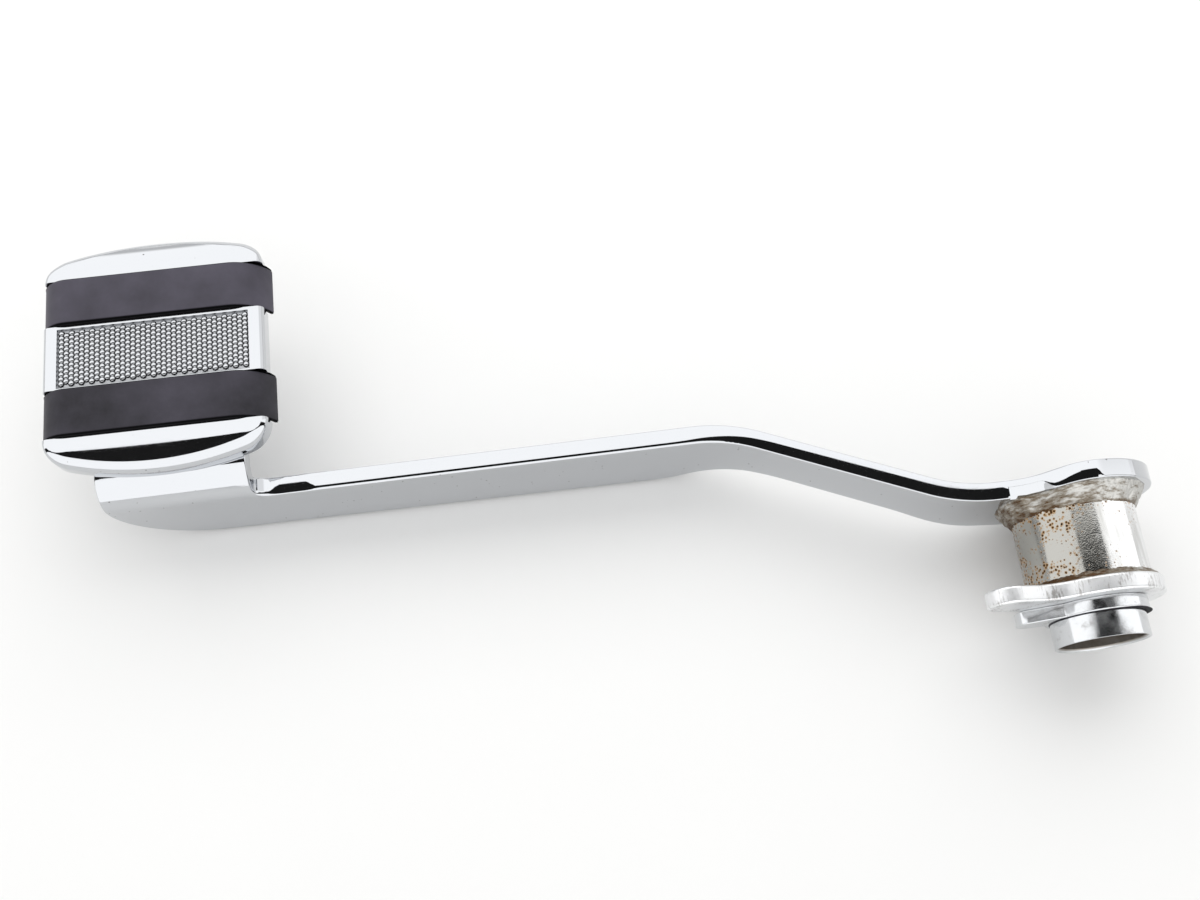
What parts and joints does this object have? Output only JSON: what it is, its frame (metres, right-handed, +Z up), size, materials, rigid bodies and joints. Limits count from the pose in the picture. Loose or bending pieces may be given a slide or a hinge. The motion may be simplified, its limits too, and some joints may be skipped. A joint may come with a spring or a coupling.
{
  "type": "rear brake pedal",
  "caption": "Motorcycle rear brake pedal: a joggled flat lever with a welded pivot hub at one end and a rubber-striped foot pad on a rolled tab at the other.",
  "frame": {"origin": "on the pivot axis, in the face of the lever's eye that the hub tube stands on", "axes": "Y is the pivot axis with the hub towards -Y (inboard) and the pad towards +Y (outboard), the lever runs forward along -X, Z is up"},
  "size_m": [0.2913, 0.1368, 0.0448],
  "materials": {
    "polished_chrome": "polished, lightly scuffed",
    "worn_plating": "dull pitted plating with rust specks",
    "weld_bead": "rough, plated over, with rust",
    "bright_steel": "bright, worn",
    "tread_plate": "fine knurl",
    "black_rubber": "satin"
  },
  "bodies": {
    "root": {"lever_arm": "polished_chrome", "pivot_sleeve": "bright_steel", "pivot_tube": "worn_plating", "arm_weld": "weld_bead", "link_plate": "worn_plating", "plate_weld": "weld_bead", "stop_collar": "worn_plating", "seal_washer": "black_rubber", "pad_shell": "polished_chrome", "tread_insert": "tread_plate", "rubber_strip_inner": "black_rubber", "rubber_strip_outer": "black_rubber", "pad_base": "bright_steel", "pad_stud_front": "bright_steel", "pad_stud_rear": "bright_steel", "lock_washer_front": "bright_steel", "lock_washer_rear": "bright_steel", "pad_nut_front": "bright_steel", "pad_nut_rear": "bright_steel"}
  },
  "joints": []
}
